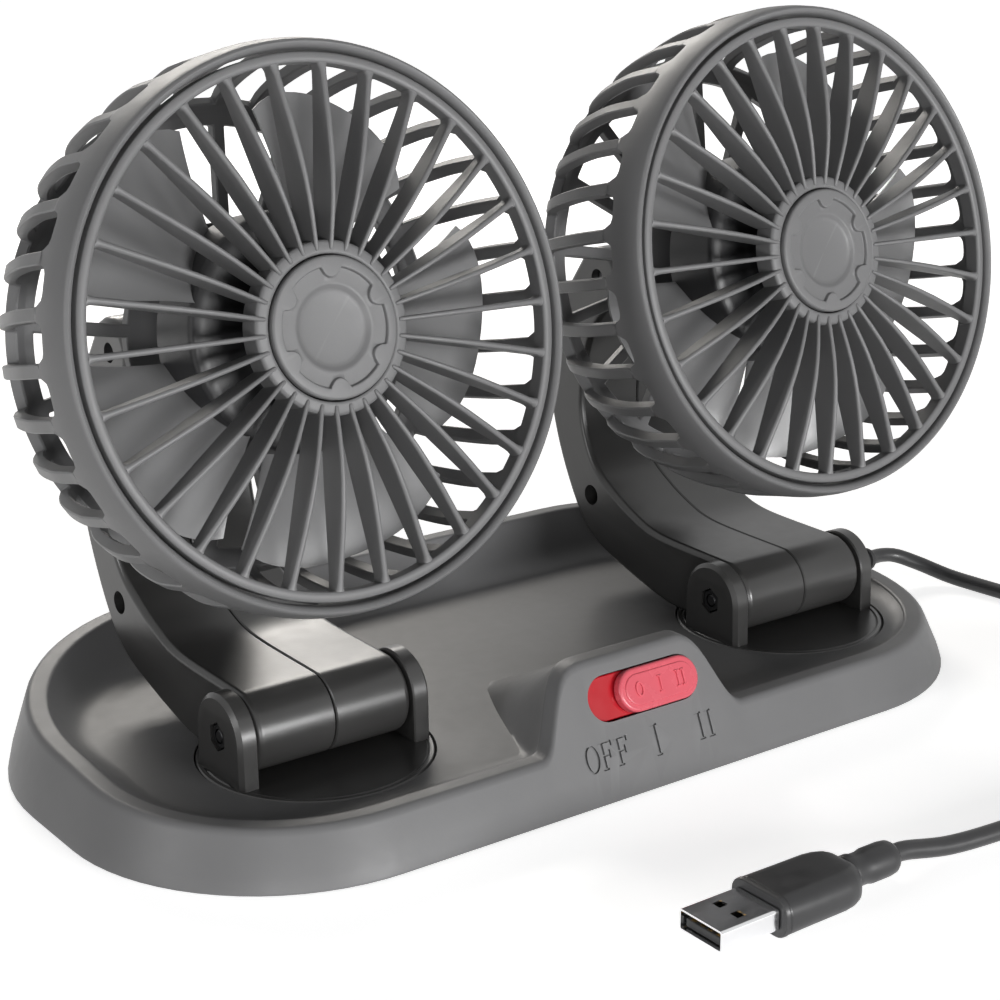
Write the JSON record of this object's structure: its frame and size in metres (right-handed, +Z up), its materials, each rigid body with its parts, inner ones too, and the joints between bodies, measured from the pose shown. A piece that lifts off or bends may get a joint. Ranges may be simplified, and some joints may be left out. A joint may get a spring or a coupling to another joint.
{
  "type": "dual head car fan",
  "caption": "Dashboard fan with caged heads on curved tilting arms, set on swivelling turntables in a dished base with a slide switch and a USB power lead.",
  "frame": {"origin": "on the surface the base stands on, under the middle of the object without its cord", "axes": "+Z up, -Y the front with the switch, +X to the right seen from the front, through both fans"},
  "size_m": [0.2785, 0.1952, 0.1631],
  "materials": {
    "grey_plastic": "fine matt texture",
    "dark_plastic": "satin",
    "blade_plastic": "satin",
    "black_plastic": "satin",
    "red_plastic": "glossy",
    "rubber": "matt",
    "steel": "plain",
    "bright_shell": "bright",
    "board_green": "satin",
    "cord_sheath": "satin"
  },
  "bodies": {
    "base": {"base_housing": "grey_plastic", "base_plate": "black_plastic", "grip_pad": "rubber", "base_screw_1": "steel", "base_screw_2": "steel", "base_screw_3": "steel", "base_screw_4": "steel", "switch_liner": "red_plastic", "switch_body": "black_plastic", "circuit_board": "board_green", "cord_gland": "rubber", "cord_lead": "cord_sheath", "cord_coil": "cord_sheath", "cord_tail": "cord_sheath", "cord_tie": "black_plastic", "plug_relief": "cord_sheath", "plug_body": "cord_sheath", "usb_shell": "bright_shell", "usb_tongue": "black_plastic"},
    "switch": {"switch_knob": "red_plastic"},
    "swivel_left": {"turntable_left": "dark_plastic", "turntable_retainer_left": "black_plastic", "hinge_bolt_left": "steel", "hinge_nut_left": "steel"},
    "arm_left": {"arm_outer_half_left": "dark_plastic", "arm_inner_half_left": "dark_plastic", "arm_screw_left": "steel", "head_pin_left": "steel"},
    "head_left": {"rear_cage_left": "grey_plastic", "front_grille_left": "grey_plastic", "hub_cap_left": "grey_plastic", "motor_left": "steel"},
    "impeller_left": {"impeller_left": "blade_plastic", "motor_shaft_left": "steel"},
    "swivel_right": {"turntable_right": "dark_plastic", "turntable_retainer_right": "black_plastic", "hinge_bolt_right": "steel", "hinge_nut_right": "steel"},
    "arm_right": {"arm_outer_half_right": "dark_plastic", "arm_inner_half_right": "dark_plastic", "arm_screw_right": "steel", "head_pin_right": "steel"},
    "head_right": {"rear_cage_right": "grey_plastic", "front_grille_right": "grey_plastic", "hub_cap_right": "grey_plastic", "motor_right": "steel"},
    "impeller_right": {"impeller_right": "blade_plastic", "motor_shaft_right": "steel"}
  },
  "joints": [
    {"name": "swivel_left", "type": "hinge", "parent": "base", "child": "swivel_left", "pos_m": [-0.0692, -0.0205, 0.0102], "axis": [0, 0, 1], "range_deg": [-30, 30]},
    {"name": "arm_tilt_left", "type": "hinge", "parent": "swivel_left", "child": "arm_left", "pos_m": [-0.0692, -0.0205, 0.0196], "axis": [1, 0, 0], "range_deg": [0, 15]},
    {"name": "head_tilt_left", "type": "hinge", "parent": "arm_left", "child": "head_left", "pos_m": [-0.0692, 0.0309, 0.092], "axis": [1, 0, 0], "range_deg": [-20, 15]},
    {"name": "impeller_spin_left", "type": "hinge", "parent": "head_left", "child": "impeller_left", "pos_m": [-0.0692, -0.01295, 0.10212], "axis": [0, -0.9744, 0.225], "continuous": true},
    {"name": "swivel_right", "type": "hinge", "parent": "base", "child": "swivel_right", "pos_m": [0.0692, -0.0205, 0.0102], "axis": [0, 0, 1], "range_deg": [-30, 30]},
    {"name": "arm_tilt_right", "type": "hinge", "parent": "swivel_right", "child": "arm_right", "pos_m": [0.0692, -0.0205, 0.0196], "axis": [1, 0, 0], "range_deg": [0, 15]},
    {"name": "head_tilt_right", "type": "hinge", "parent": "arm_right", "child": "head_right", "pos_m": [0.0692, 0.0309, 0.092], "axis": [1, 0, 0], "range_deg": [-20, 15]},
    {"name": "impeller_spin_right", "type": "hinge", "parent": "head_right", "child": "impeller_right", "pos_m": [0.0692, -0.01295, 0.10212], "axis": [0, -0.9744, 0.225], "continuous": true},
    {"name": "switch_slide", "type": "slide", "parent": "base", "child": "switch", "axis": [1, 0, 0], "range_m": [-0.0078, 0]}
  ]
}
